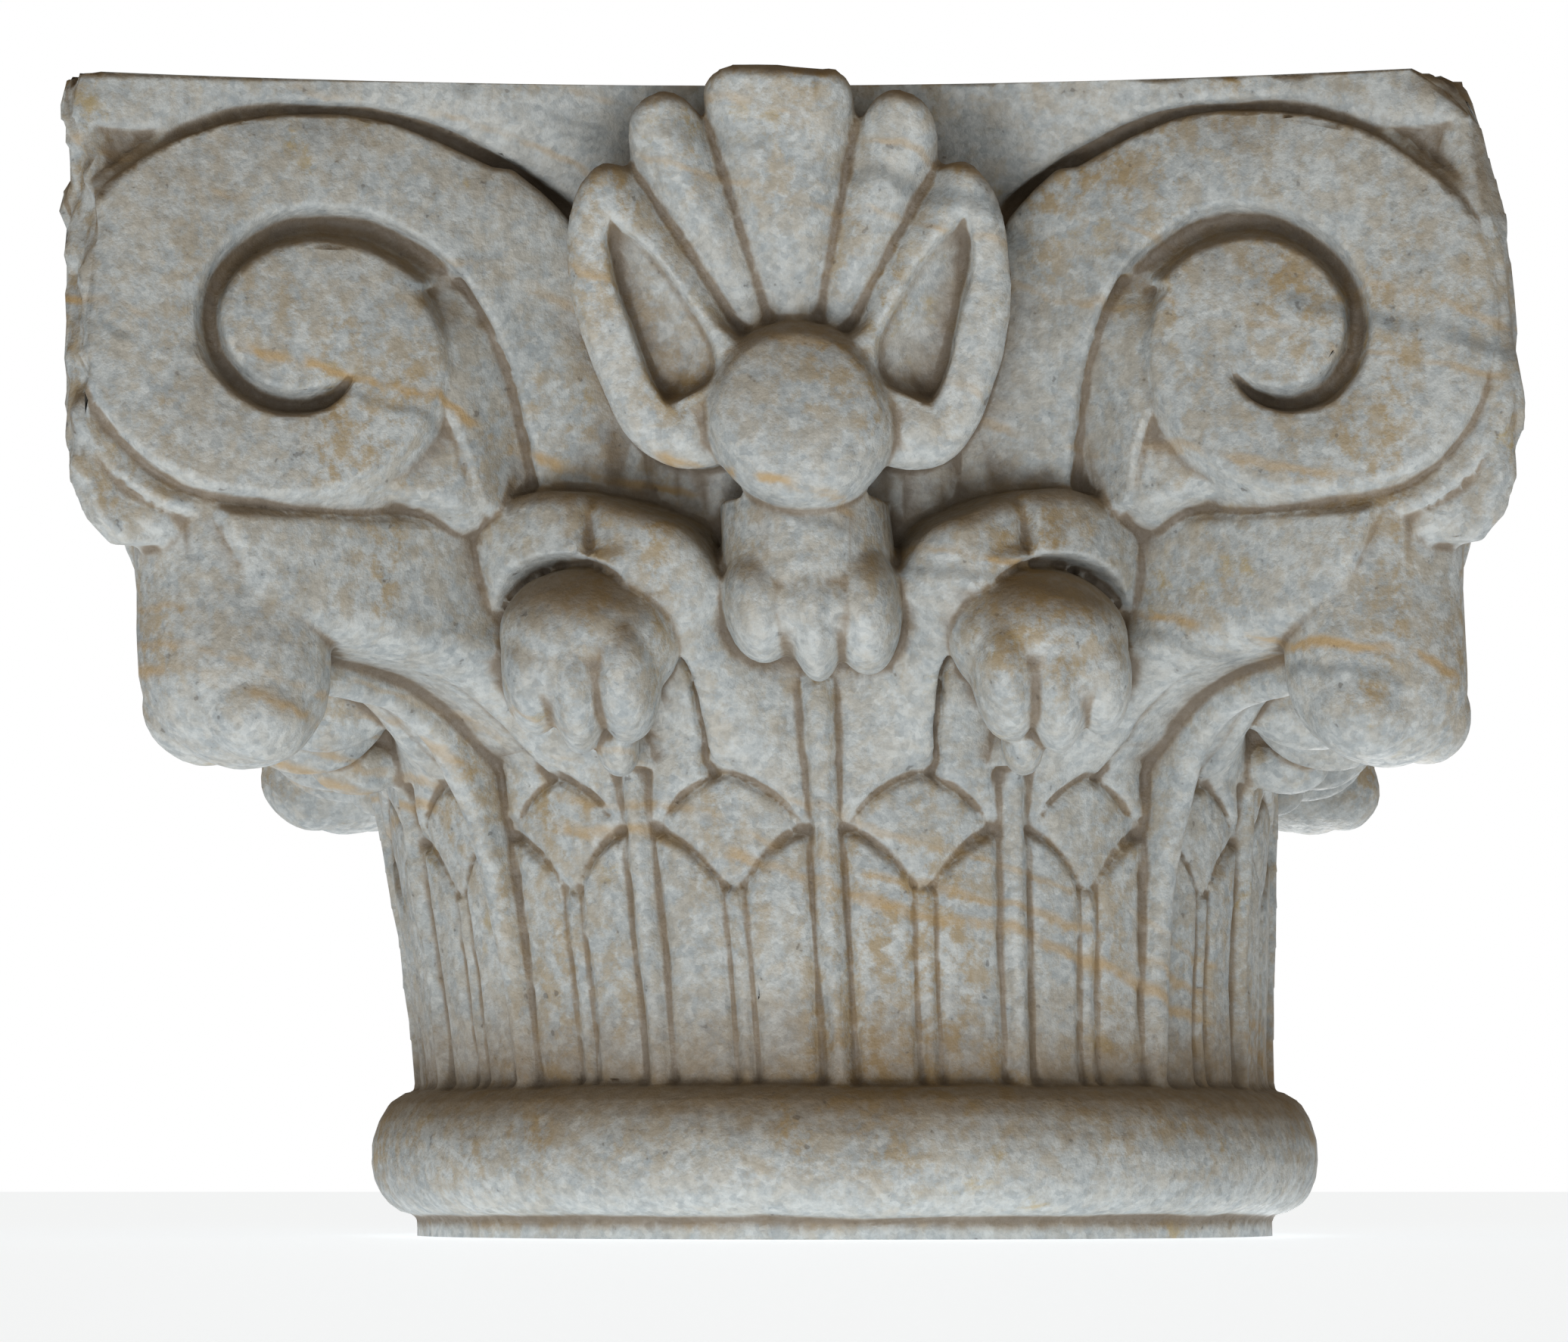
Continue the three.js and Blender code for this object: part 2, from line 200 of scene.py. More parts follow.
# %% [markdown]
# ## The foot ring, the bell and the reeds
# The mason made the foot and the bell round first, then cut the reeds into the bell. Each pair of reeds
# has a thin rib between them, round heads, and a pointed shield above. They could be added as separate
# strips, but they are cut into the bell. So this part is one surface of revolution whose radius also
# depends on the angle.

# %% Profile of the foot
FOOT = [(0, -SPARE), (181, -SPARE), (181, 8.6), (183.5, 9.2), (188, 10.2), (193, 13), (197, 17.5),
        (199.5, 23.6), (200.6, 31), (199.8, 40), (197, 48.6), (192.5, 55.5), (186, 59.6), (178.5, 61)]
PROFILE_STEP = 2.0


def dense(profile, step):
    """Adds points along a profile so that none is more than a step from the next."""
    profile = np.array(profile, float)
    out = []
    for a, b in zip(profile[:-1], profile[1:]):
        n = max(1, int(np.hypot(*(b - a)) / step))
        out.append(a + (b - a) * np.linspace(0, 1, n, endpoint=False)[:, None])
    out.append(profile[-1:])
    return np.concatenate(out)


print("foot ring", 2 * max(radius for radius, _ in FOOT), "mm across")

# %% Reeds and shields
STEM_ANGLES = (0.0, MID_LEAF - 0.4, CORNER)
STEM_HALF = 5.8
STEM_HEIGHT = 12.0
REED_HEIGHT = 8.5
SHIELD_HEIGHT = 7.0
BLADE_HEIGHT = 8.8
REED_SIDE = 6.9
RIB_SIDE = 4.3
LINE = 1.6
EDGE = 1.8
REED_HEAD = [(0, 137), (3.5, 139.5), (10, 148.5), (18, 156.5), (25, 161), (28.5, 161), (34, 158)]
OGIVE = [(0, 186), (6, 183.5), (13, 179.5), (21, 172.5), (28, 163)]
RIB_HALF = 3.6
RIB_HEIGHT = 8.6


def half_round(s, half, height):
    """Height of a rounded rib at a distance s from its middle."""
    return height * np.sqrt(np.clip(1.0 - (s / half) ** 2, 0.0, 1.0))


def reed_relief(fold, z):
    """Height of the carving over the bell, by the angle folded to 0-45 degrees and the height."""
    mid = fold > STEM_ANGLES[1]
    low = np.where(mid, STEM_ANGLES[1], STEM_ANGLES[0])
    high = np.where(mid, STEM_ANGLES[2], STEM_ANGLES[1])
    to_mm = math.radians(1) * GIRTH
    s = np.abs(fold - (low + high) / 2) * to_mm
    half = (high - low) / 2 * to_mm
    stem_s = np.minimum(np.abs(fold - low), np.abs(fold - high)) * to_mm
    scale = (half - REED_SIDE) / 29.0
    to_head = (z - curve(REED_HEAD, s / scale)) * 0.75
    to_ogive = (z - curve(OGIVE, s / scale)) * 0.75
    level = REED_HEIGHT + (SHIELD_HEIGHT - REED_HEIGHT) * smooth(to_head / EDGE + 0.5)
    level = level + (BLADE_HEIGHT - SHIELD_HEIGHT) * smooth(to_ogive / EDGE + 0.5)
    cuts = [5.0 * bump(to_head, LINE), 4.6 * bump(to_ogive + 0.6, LINE),
            4.4 * bump(stem_s - REED_SIDE, LINE), 4.8 * bump(s - RIB_SIDE, LINE) * smooth(1 - to_head / 2)]
    rib = half_round(s, RIB_HALF, RIB_HEIGHT) * smooth((141 - z) / 3)
    stem = half_round(stem_s, STEM_HALF, STEM_HEIGHT)
    return np.maximum.reduce([level - np.maximum.reduce(cuts), rib, stem])


# %% [markdown]
# ## The leaves over the reeds
# On each side of the middle a leaf rises from its stem, and its tip curls out and hangs down. A thick
# rolled edge arches over the tip like a hood, with a dark cut between that runs down to a drilled pit. A
# bent tube would give a hood that stands free, but this one grows out of the bell. So it is a change of
# the bell's own radius, worked out on circles about the tip, where its inner and outer edge are nearly
# round.

# %% Hoods
HOOD_CENTRE = (-2.0, 225.0)
LEAF_GIRTH = 245.0
HOOD_INNER = [(-150, 62), (-140, 60), (-131, 56), (-110, 46.3), (-95, 43.2), (-68, 40), (-33, 40.8),
              (4, 40.3), (51, 41), (72, 40), (100, 44), (140, 56)]
HOOD_OUTER = [(-140, 74), (-90, 73), (-58, 75), (-43, 75.5), (-33, 72), (-6, 71), (11, 73), (31, 72.5),
              (46, 74), (63, 78), (100, 84), (140, 84)]
HOOD_LIFT = [(-155, 8), (-125, 13), (-95, 27), (-60, 47), (0, 57), (50, 49), (80, 31), (110, 17),
             (145, 9)]
CUT_DEPTH = [(-152, 0), (-145, 10), (-100, 12), (-40, 12), (30, 10), (75, 6), (95, 0)]
CUT_WIDTH = 5.0
NOTCH_AT = -14.5
PITS = (13.6, 36.3)
PIT_HEIGHT = 187.0


def leaf_radius(fold, z):
    """Radius of the hood, the leaf blade under it and the cut between them."""
    t = (fold - MID_LEAF) * math.radians(1) * LEAF_GIRTH
    dx = t - HOOD_CENTRE[0]
    dz = z - HOOD_CENTRE[1]
    around = np.degrees(np.arctan2(dx, dz))
    away = np.hypot(dx, dz)
    inner = curve(HOOD_INNER, around)
    outer = curve(HOOD_OUTER, around)
    e = np.clip((away - inner) / (outer - inner), 0, 1.3)
    lift = curve(HOOD_LIFT, around)
    stepped = smooth((around + 82) / 16) * smooth((84 - around) / 16)
    shape = 1 - 0.17 * e - 0.10 * smooth((e - 0.65) / 0.35)
    crown = lift * shape
    notch = 8 * bump(t - NOTCH_AT, 2.4) + 4 * smooth((NOTCH_AT - t) / 3) * smooth((t - NOTCH_AT + 26) / 22)
    crown = crown - notch * smooth((z - 262) / 8) * stepped
    hood = BLADE_HEIGHT + (crown - BLADE_HEIGHT) * smooth((outer - away) / 4.5)
    leg = BLADE_HEIGHT + (lift - BLADE_HEIGHT) * (1 - smooth((away - inner) / 44))
    outside = hood * stepped + leg * (1 - stepped)
    blade = BLADE_HEIGHT + 7 * smooth((z - 190) / 40)
    over = smooth((away - inner) / 2.4 + 0.5) * smooth((158 - np.abs(around)) / 14)
    cut = curve(CUT_DEPTH, around) * smooth((inner - away) / 1.8 + 0.4)
    cut = cut * smooth((away - inner + CUT_WIDTH) / 1.8)
    return bell(z) + blade + (outside - blade) * over - cut


# %% Turning the bell
ROW_STEP = 1.25
ANGLE_STEP = 0.375


def turned_body():
    """The foot, the bell and everything on it that a line from the axis meets only once."""
    flare = np.arange(TORUS_TOP + 0.5, HEIGHT - 1, ROW_STEP)
    rows = np.concatenate([dense(FOOT, PROFILE_STEP), np.stack([0 * flare, flare], axis=1)])
    angles = np.arange(0, 360, ANGLE_STEP)
    z = rows[:, 1][:, None] + 0 * angles[None, :]
    radius = rows[:, 0][:, None] + 0 * angles[None, :]
    fold = np.abs((angles + 45.0) % 90.0 - 45.0)[None, :] + 0 * z
    reeds = bell(z) + reed_relief(fold, z)
    turn_over = smooth((z - 186) / 8)
    carved = reeds * (1 - turn_over) + leaf_radius(fold, z) * turn_over
    stem_s = np.minimum(np.abs(fold - STEM_ANGLES[1]), fold) * math.radians(1) * GIRTH
    high_stem = half_round(stem_s, STEM_HALF, 5.5) - 2.2 * bump(stem_s - REED_SIDE, 2.2)
    high_stem = high_stem * smooth((224 - z) / 8)
    carved = carved + high_stem * turn_over
    for pit in PITS:
        away = np.hypot((fold - pit) * math.radians(1) * GIRTH, z - PIT_HEIGHT)
        carved = carved - 7 * bump(away, 3.0)
    radius = np.where(z > TORUS_TOP, carved, radius)
    theta = np.radians(angles - 90.0)[None, :]
    points = np.stack([radius * np.cos(theta), radius * np.sin(theta), z], axis=-1).reshape(-1, 3)
    columns = len(angles)
    faces = [grid_quads(len(rows), columns, wrap=True)]
    top = np.arange(columns) + (len(rows) - 1) * columns
    middle = np.full(columns, len(points))
    points = np.concatenate([points, [[0, 0, rows[-1, 1]]]])
    faces.append(np.stack([top, np.roll(top, -1), middle, middle], axis=-1))
    return points, np.concatenate(faces)


keep_shell(*turned_body())
print("turned body points:", shell_count)

# %% [markdown]
# ## The hanging leaf tips
# A curled tip is a soft three-lobed drop. It could be one ball with drawn creases, but three drops side
# by side, and a dome over them, give the creases by themselves where they meet. The knob in the middle
# of each face is made in the same way, and the ball above it has its front worn nearly flat.

# %% Leaf tips and the knob
def drop(x, q, z, wide, deep, high, top=None, waist=0.0):
    """A hanging drop about a middle point; with top it is straight-sided up to that height."""
    def place(across, out, up):
        if top is None:
            return x + across * wide, q + out * deep, z + up * high
        rise = np.where(up > 0, up * (top - z), up * high)
        spread = np.where(up > 0, 1 / np.maximum(0.15, np.hypot(across, out)), 1.0)
        spread = np.where(up > 0.985, 0.3 * spread, spread)
        spread = spread * (1 - waist * smooth((rise - 8) / 26))
        return x + across * wide * spread, q + out * deep * spread, z + rise
    return lump(place)


LEAF_LOBES = [(74.5, 216, 222, 14, 34, 28), (93.5, 212, 220, 12.5, 34.5, 30), (111, 204, 223, 13, 33, 25)]
LEAF_DOME = (88, 210, 235, 35.5, 37.5, 28)
LEAF_BELLY = (91, 208, 224, 31, 36, 24)
LEAF_TAIL = (79.5, 193, 194, 8.5, 19, 12)
for face in FACES:
    for side in (-1, 1):
        for piece in (*LEAF_LOBES, LEAF_DOME, LEAF_BELLY, LEAF_TAIL):
            carve(drop(*piece), face, side)

KNOB_LOBES = [(-19.5, 218, 249, 15, 32.5, 25), (1, 220, 247, 12, 33.5, 30),
              (20.5, 218, 248, 14.5, 33, 27.5)]
KNOB_DOME = (0, 215, 262, 33.5, 37, 29)
KNOB_BELLY = (1, 216, 247, 31, 35.5, 21)
KNOB_TOP = 289.0
BALL_R = 37.0
BALL_Q, BALL_Z = 248.0, 318.0
BALL_FLAT = 0.6


def ball_place(across, out, up):
    """A ball with its front worn nearly flat."""
    front = np.where(out > BALL_FLAT, BALL_FLAT + 0.3 * (out - BALL_FLAT), out)
    return BALL_R * across, BALL_Q + BALL_R * front, BALL_Z + BALL_R * up


for face in FACES:
    for piece in (*KNOB_LOBES, KNOB_BELLY):
        carve(drop(*piece), face)
    carve(drop(*KNOB_DOME, top=KNOB_TOP), face)
    carve(lump(ball_place), face)
print("points with leaf tips, knobs and balls:", shell_count)

# %% [markdown]
# ## The shell of lobes
# Above the ball five lobes fan out and lean forwards up to the slab. The outer pair curl down as two
# arms that end in small knobs beside the ball, with a hollow in each. Separate petals would overlap,
# while the real ones are divided by grooves alone. So the whole outline is one closed curve, worked out
# on rays from a point in the fan, and the seams run down to the middle of the ball.

# %% Shell of lobes
SHELL_ROOT = (0.0, 350.0)
SHELL_EDGE = [(0, 99), (6, 99.5), (13, 100), (17, 96), (20, 86), (23, 95), (30, 101), (36, 99),
              (40, 93), (43, 88), (47, 94), (54, 96), (62, 94), (70, 91), (78, 87), (91, 82), (104, 79),
              (117, 78), (130, 75), (141, 67), (150, 56)]
SHELL_SEAMS = (14.6, 31.9)
SHELL_FOOT = 296.0
SHELL_DEPTH = 251.0
SHELL_LEAN = 39.5
SEAM_CUT = 2.2
SEAM_VALLEY = 8.5
HOLLOW_INNER = [(320, 52), (323, 48), (329, 36), (342, 31), (363, 41), (384, 58), (391, 66), (394, 68)]
HOLLOW_OUTER = [(320, 51), (323, 52), (332, 57), (353, 64), (376, 70), (388, 70), (394, 68)]
HOLLOW_DEPTH = 13.0
ARM_KNOB = (46, 236, 315, 14, 21, 15)


def shell_front(x, z, share):
    """Depth of the shell of lobes at a point, with its grooves and hollows."""
    rise = np.clip((z - SHELL_FOOT) / 152.0, 0, 1)
    base = SHELL_DEPTH + SHELL_LEAN * rise ** 1.1 - 8 * smooth((320 - z) / 40)
    from_ball = np.hypot(x, z - BALL_Z)
    slant = np.degrees(np.arctan2(np.abs(x), z - BALL_Z))
    seam = np.minimum(np.abs(slant - SHELL_SEAMS[0]), np.abs(slant - SHELL_SEAMS[1]))
    seam = seam * math.radians(1) * from_ball
    groove = (2.5 + 1.5 * share) * bump(seam, SEAM_CUT) + (3 + 6.5 * share) * bump(seam, SEAM_VALLEY)
    dip = 9 * bump(from_ball - BALL_R, 16) * smooth((z - 340) / 12) * smooth((42 - slant) / 10)
    side = np.abs(x)
    within = np.minimum(side - curve(HOLLOW_INNER, z), curve(HOLLOW_OUTER, z) - side)
    within = np.minimum(within, np.minimum(z - 321, 394 - z))
    to_outside = smooth((side - curve(HOLLOW_INNER, z)) / 16)
    hollow = HOLLOW_DEPTH * (0.55 + 0.45 * to_outside) * smooth((within + 0.8) / 3.0)
    rim = smooth((share - 0.93) / 0.07)
    return base - groove * smooth((z - 345) / 10) - dip - hollow - 4.5 * rim ** 2


def shell_place(u, v, front):
    """The shell of lobes, on rays that leave a gap below, where the ball is."""
    around = (u - 0.5) * 300.0
    reach = v * curve(SHELL_EDGE, np.abs(around))
    x = reach * np.sin(np.radians(around))
    z = SHELL_ROOT[1] + reach * np.cos(np.radians(around))
    if not front:
        return x * 0.92, 178.0 + 0 * x, SHELL_ROOT[1] + (z - SHELL_ROOT[1]) * 0.84
    return x, shell_front(x, z, v), np.minimum(z, HEIGHT)


shell_form = sheet(301, 76, shell_place)
for face in FACES:
    carve(shell_form, face)
    for side in (-1, 1):
        carve(drop(*ARM_KNOB), face, side)
print("points with the shells of lobes:", shell_count)

# %% [markdown]
# ## The scrolls
# A band rises from behind the leaves, bends over and winds into a spiral beside the corner. Its face
# follows the hollow side of the slab. A profile swept along a spiral would twist where the turns get
# tight. So the disc is worked out on rays from its own centre: one spiral edge runs round the disc and
# on, inside the channel, round the eye. Its lower rim is bevelled, so that it shows from below.

# %% Scroll
SCROLL_X, SCROLL_Z = 183.0, 355.0
SCROLL_EDGE = [(-68, 106), (-61, 99), (-50, 93.3), (-35, 88), (-18, 85), (0, 83), (20, 84), (41, 86),
               (62, 88.5), (85, 87.5), (101, 86), (117, 84.5), (130, 81.5), (150, 75), (170, 68),
               (195, 61.5), (225, 53.5), (243, 49.5), (268, 44), (292, 38.5)]
BEVEL = [(-68, 1), (85, 1), (112, 6), (140, 11), (180, 13), (235, 12), (262, 7), (292, 3)]
BEVEL_SLOPE = 2.0
CHANNEL_DEPTH = 13.0
CHANNEL_INNER = [(-72, 42), (-46, 36.5), (-24, 33), (-5, 31), (22, 29), (53, 29), (83, 29.8), (114, 30),
                 (138, 29.6), (164, 27.3), (193, 24.8), (212, 22.8), (231, 20)]
CHANNEL_OUTER = [(-72, 60), (-46, 52.5), (-24, 49), (-10, 46.4), (10, 44.6), (30, 42.4), (58, 41.2),
                 (86, 41.6), (107, 41.8), (127, 41.2), (147, 40.4), (166, 38), (187, 33.5), (208, 28),
                 (231, 20.8)]
SCROLL_REACH = 239.0
SCROLL_SLANT = 0.29
STEM_FALL = 0.2


def scroll_face(x, z):
    """Depth of the scroll's face, which follows the slab; its stem falls back below."""
    to_stem = smooth((137 - x) / 30)
    return SCROLL_REACH + SCROLL_SLANT * (x - 130) - STEM_FALL * to_stem * np.clip(400 - z, 0, None)


def channel_depth(turn, away):
    """How deep the channel is at a point given by its turn and its distance from the centre."""
    inner = curve(CHANNEL_INNER, turn)
    outer = curve(CHANNEL_OUTER, turn)
    width = np.maximum(outer - inner, 0.01)
    s = (outer - away) / width
    section = smooth(s / 0.26) * smooth((1 - s) / 0.42)
    ends = smooth((turn + 96) / 20) * smooth((236 - turn) / 14)
    return CHANNEL_DEPTH * section * ends * np.minimum(1, width / 8.5)


def scroll_place(u, v, front):
    """The disc with its channel, from its centre out to the bevelled rim."""
    turn = -68 + u * 360
    edge = curve(SCROLL_EDGE, turn)
    whole = edge + curve(BEVEL, turn)
    away = v * whole
    if not front:
        away = v * (whole + 4)
    x = SCROLL_X + away * np.sin(np.radians(turn))
    z = SCROLL_Z + away * np.cos(np.radians(turn))
    if not front:
        return x, np.maximum(150.0, x - 4), z
    depth = np.maximum(channel_depth(turn, away), channel_depth(turn - 360, away))
    fall = BEVEL_SLOPE * np.clip(away - edge, 0, None) + 0.5 * smooth((away - edge + 1.5) / 1.5)
    return x, scroll_face(x, z) - depth - fall, z


print("scroll", round(2 * SCROLL_EDGE[9][1]), "mm across, channel", CHANNEL_DEPTH, "mm deep")

# %% [markdown]
# ## The bands of the scrolls
# Below the scroll the band comes down to the leaf in two planes: a broad one beside the shell, and a
# lower gutter that runs on from the channel, with a crease between them. They could be one bent strip,
# but two sheets that overlap give the crease for nothing.

# %% Bands
BAND_LEFT = [(262, 54), (292, 60), (310, 62.5), (330, 66), (350, 70), (370, 75), (385, 80), (400, 87),
             (410, 97), (418, 107)]
BAND_RIGHT = [(262, 103), (292, 104.5), (300, 105.5), (319, 108), (343, 113), (363, 121), (375, 128),
              (385, 136), (400, 150), (418, 165)]
GUTTER_EDGE = [(262, 112), (286, 124), (315, 132.6), (330, 141), (345, 158), (380, 158)]
BAND_FOOT = 262.0
BAND_TOP = 418.0
GUTTER_TOP = 384.0
GUTTER_STEP = 6.5


def band_foot(z):
    """The bands go back into the block behind the hoods."""
    return 52 * smooth((289 - z) / 27)


def band_place(u, v, front):
    """The broad plane beside the shell."""
    z = BAND_FOOT + v * (BAND_TOP - BAND_FOOT)
    left = curve(BAND_LEFT, z)
    right = curve(BAND_RIGHT, z)
    x = left + u * (right - left)
    if not front:
        return x, 140.0 + 0 * x, z
    soft = 1.5 * (smooth((u - 0.95) / 0.05) * smooth((390 - z) / 20) + smooth((0.05 - u) / 0.05))
    return x, scroll_face(x, z) - soft - band_foot(z), z


def gutter_place(u, v, front):
    """The lower plane under the disc."""
    z = BAND_FOOT + v * (GUTTER_TOP - BAND_FOOT)
    left = curve(BAND_RIGHT, z) - 5
    x = left + u * (160 - left)
    if not front:
        return x, np.maximum(140.0, x - 14), z
    beyond = 5 * smooth((x - curve(GUTTER_EDGE, z)) / 3.0)
    beyond = beyond + 30 * smooth((x - 134) / 26) * smooth((292 - z) / 12)
    into_channel = 6.5 * smooth((z - 350) / 24)
    return x, scroll_face(x, z) - GUTTER_STEP - 2 * u - into_channel - beyond - band_foot(z), z


scroll_forms = [sheet(361, 84, scroll_place), sheet(50, 125, band_place), sheet(50, 100, gutter_place)]
for face in FACES:
    for side in (-1, 1):
        for form in scroll_forms:
            carve(form, face, side)
print("points with the scrolls and their bands:", shell_count)

# %% [markdown]
# ## The corners
# The mass between the scrolls of two faces is left standing as a blunt edge that runs down past them,
# with a thin roll and grooves that follow the rim of each disc. Below it the corner leaf bends out and
# ends in a ball; its midrib comes up from the reeds along the diagonal. The mass could be built from the
# two faces, but it is seen as one form, so it is one sheet that stands across the diagonal.

# %% Corner mass
NOSE = [(268, 367), (272, 372), (277, 378), (284, 381), (294, 384.5), (312, 389), (345, 390),
        (363, 389), (400, 384), (420, 379), (446, 378)]
STRIP_HALF = 5.5
FACE_SLOPE = 1.81
ROLL_AT = 5.0
CORNER_FOOT = 268.0
CORNER_TOP = 446.0
CORNER_WIDE = 96.0
BEHIND_DISC = 22.0


def corner_place(u, v, front):
    """The blunt edge between two scrolls, on both sides of the diagonal."""
    z = CORNER_FOOT + v * (CORNER_TOP - CORNER_FOOT)
    lateral = (u - 0.5) * CORNER_WIDE
    off = np.clip(np.abs(lateral) - STRIP_HALF, 0, None)
    reach = curve(NOSE, z) - FACE_SLOPE * off
    x = (reach - np.abs(lateral)) / math.sqrt(2) - SCROLL_X
    turn = np.degrees(np.arctan2(x, z - SCROLL_Z)) % 360
    beyond = np.hypot(x, z - SCROLL_Z) - curve(SCROLL_EDGE, turn) - curve(BEVEL, turn)
    behind = BEHIND_DISC * smooth((1.5 - beyond) / 3)
    outside = 5 * smooth((beyond - ROLL_AT - 1) / 4)
    outside = outside + 4 * smooth((beyond - 8) / 3) * smooth((z - 372) / 12)
    roll = 2.2 * bump(beyond - ROLL_AT, 2.6) - 4.5 * bump(beyond - 0.6, 2.0)
    strand = (2 * bump(beyond - 15, 2.8) - 2.5 * bump(beyond - 10, 2.2)) * smooth((turn - 98) / 12)
    raised = (roll + strand) * smooth((off + 2) / 3)
    upper = 1 - smooth((z - CORNER_FOOT) / 56)
    shift = 22 * smooth((np.abs(lateral) - 8) / 40) * upper
    if not front:
        return lateral, 250.0 + 0 * z, z + shift
    return lateral, reach + raised - (behind + outside + 4) * smooth(off / 3), z + shift


corner_form = sheet(171, 240, corner_place)

# %% Corner leaf
LEAF_EDGE = [(187, 190), (198, 206), (206, 215), (214, 226), (220, 238), (226, 256), (231, 282),
             (237, 308), (246, 324), (262, 334), (280, 340), (310, 345)]
RIM_HALF = 33.0
WEB_FOOT = 187.0
WEB_TOP = 310.0
WEB_WIDE = 160.0


def web_place(u, v, front):
    """The corner leaf, which bends out from the bell to the ball."""
    z = WEB_FOOT + v * (WEB_TOP - WEB_FOOT)
    lateral = (u - 0.5) * WEB_WIDE
    a = np.abs(lateral)
    reach = curve(LEAF_EDGE, z)
    upper = smooth((z - 222) / 22)
    under_disc = smooth((z - 278) / 12)
    fall = 1 - smooth((a - 24 - 9 * upper + 27 * under_disc) / (50 - 22 * upper + 38 * under_disc))
    if not front:
        return lateral, bell(z) - 30, z
    under = 6 * smooth((a - 3) / 6) * smooth((RIM_HALF - a) / 5) * smooth((232 - z) / 10)
    return lateral, bell(z) - 2 + fall * (reach - bell(z) + 2) - under, z


RIB_PATH = [(0, 178, 60), (0.25, 186, 122), (0.45, 199, 168), (0.6, 214, 198), (0.72, 232, 212),
            (0.85, 256, 218), (1.0, 292, 221)]
RIB_OUT = [(share, out) for share, out, _ in RIB_PATH]
RIB_UP = [(share, up) for share, _, up in RIB_PATH]
RIB_STEP = 0.01
RIB_ROUND = 5.0
RIB_ROOT = 22.0


def rib_place(u, v, front):
    """The midrib, half round across, on a path from the reeds up to the ball."""
    slope_out = curve(RIB_OUT, v + RIB_STEP) - curve(RIB_OUT, v - RIB_STEP)
    slope_up = curve(RIB_UP, v + RIB_STEP) - curve(RIB_UP, v - RIB_STEP)
    length = np.maximum(np.hypot(slope_out, slope_up), 1e-6)
    across = (u - 0.5) * 2
    height = half_round(across, 1.0, RIB_ROUND) if front else -RIB_ROOT + 0 * across
    out = curve(RIB_OUT, v) + slope_up / length * height
    up = curve(RIB_UP, v) - slope_out / length * height
    return across * STEM_HALF, out, up


CORNER_BALL = drop(0, 315, 221, 36.5, 36.5, 37.5, top=304, waist=0.02)
CORNER_TIP = drop(17, 320, 206, 19, 23, 21)
web_form = sheet(160, 124, web_place)
rib_form = sheet(24, 90, rib_place)
for face in FACES:
    for form in (corner_form, web_form, rib_form, CORNER_BALL):
        carve(form, face + CORNER)
    for side in (-1, 1):
        carve(CORNER_TIP, face + CORNER, side)
print("points with the corners:", shell_count)

# %% [markdown]
# ## The slab
# The slab has four hollow sides and cut corners. Below its sharp top edge a cove leads back to the bell,
# and at the corners it stands flush over the scrolls. A box with a bent side would need the cove cut
# afterwards, so each side is one sheet whose inset changes with the height, and a plain block fills the
# middle.

# %% Slab
SLAB_MIDDLE = 236.0
SLAB_HALF = 269.0
SLAB_BOW = 38.0
SLAB_FOOT = 396.0
COVE = [(396, 34), (410, 25), (422, 16), (432, 9), (440, 4), (446, 1.2), (450, 0.0), (456, 0.0)]


def slab_place(u, v, front):
    """One side of the slab, with its cove, from the scrolls to above the bed."""
    z = SLAB_FOOT + v * (HEIGHT + SPARE - SLAB_FOOT)
    x = (u - 0.5) * 2 * SLAB_HALF
    q = SLAB_MIDDLE + SLAB_BOW * (x / SLAB_HALF) ** 2
    inset = curve(COVE, z) * (1 - 0.8 * smooth((np.abs(x) - 120) / 80))
    inset = inset + 5 * smooth((np.abs(x) - 225) / 25) * smooth((431 - z) / 3)
    turn = np.degrees(np.arctan2(np.abs(x) - SCROLL_X, z - SCROLL_Z))
    beyond = np.hypot(np.abs(x) - SCROLL_X, z - SCROLL_Z) - curve(SCROLL_EDGE, turn)
    inset = inset + 8 * smooth((5.0 - beyond) / 2.0) * smooth((442 - z) / 1.5)
    shrink = 1 - inset / 260
    if not front:
        return x * 0.2, 60.0 + 0 * x, z
    return x * shrink, q - inset, z


CORE_WIDE = 300.0
CORE_REACH = 200.0
CORE_FOOT = 400.0


def core_place(u, v, front):
    """A plain block behind each side, so that the slab is solid."""
    reach = CORE_REACH if front else 0.0
    return (u - 0.5) * CORE_WIDE, reach + 0 * u, CORE_FOOT + v * (HEIGHT + SPARE - CORE_FOOT)


slab_form = sheet(240, 60, slab_place)
core_form = sheet(6, 6, core_place)
for face in FACES:
    carve(slab_form, face)
    carve(core_form, face)
print("points with the slab:", shell_count)

# %% [markdown]
# ## Fusing the block
# One block of stone has one skin. The shells are joined into one mesh and turned into one skin by a
# voxel remesh, which drops everything inside and never fails as booleans may. A little smoothing then
# rounds the edges, as the mason's rasp and the weather did.

# %% Fuse
VOXEL = 1.7
MILLI = 0.001
RASP = 0.5
RASP_ROUNDS = 2


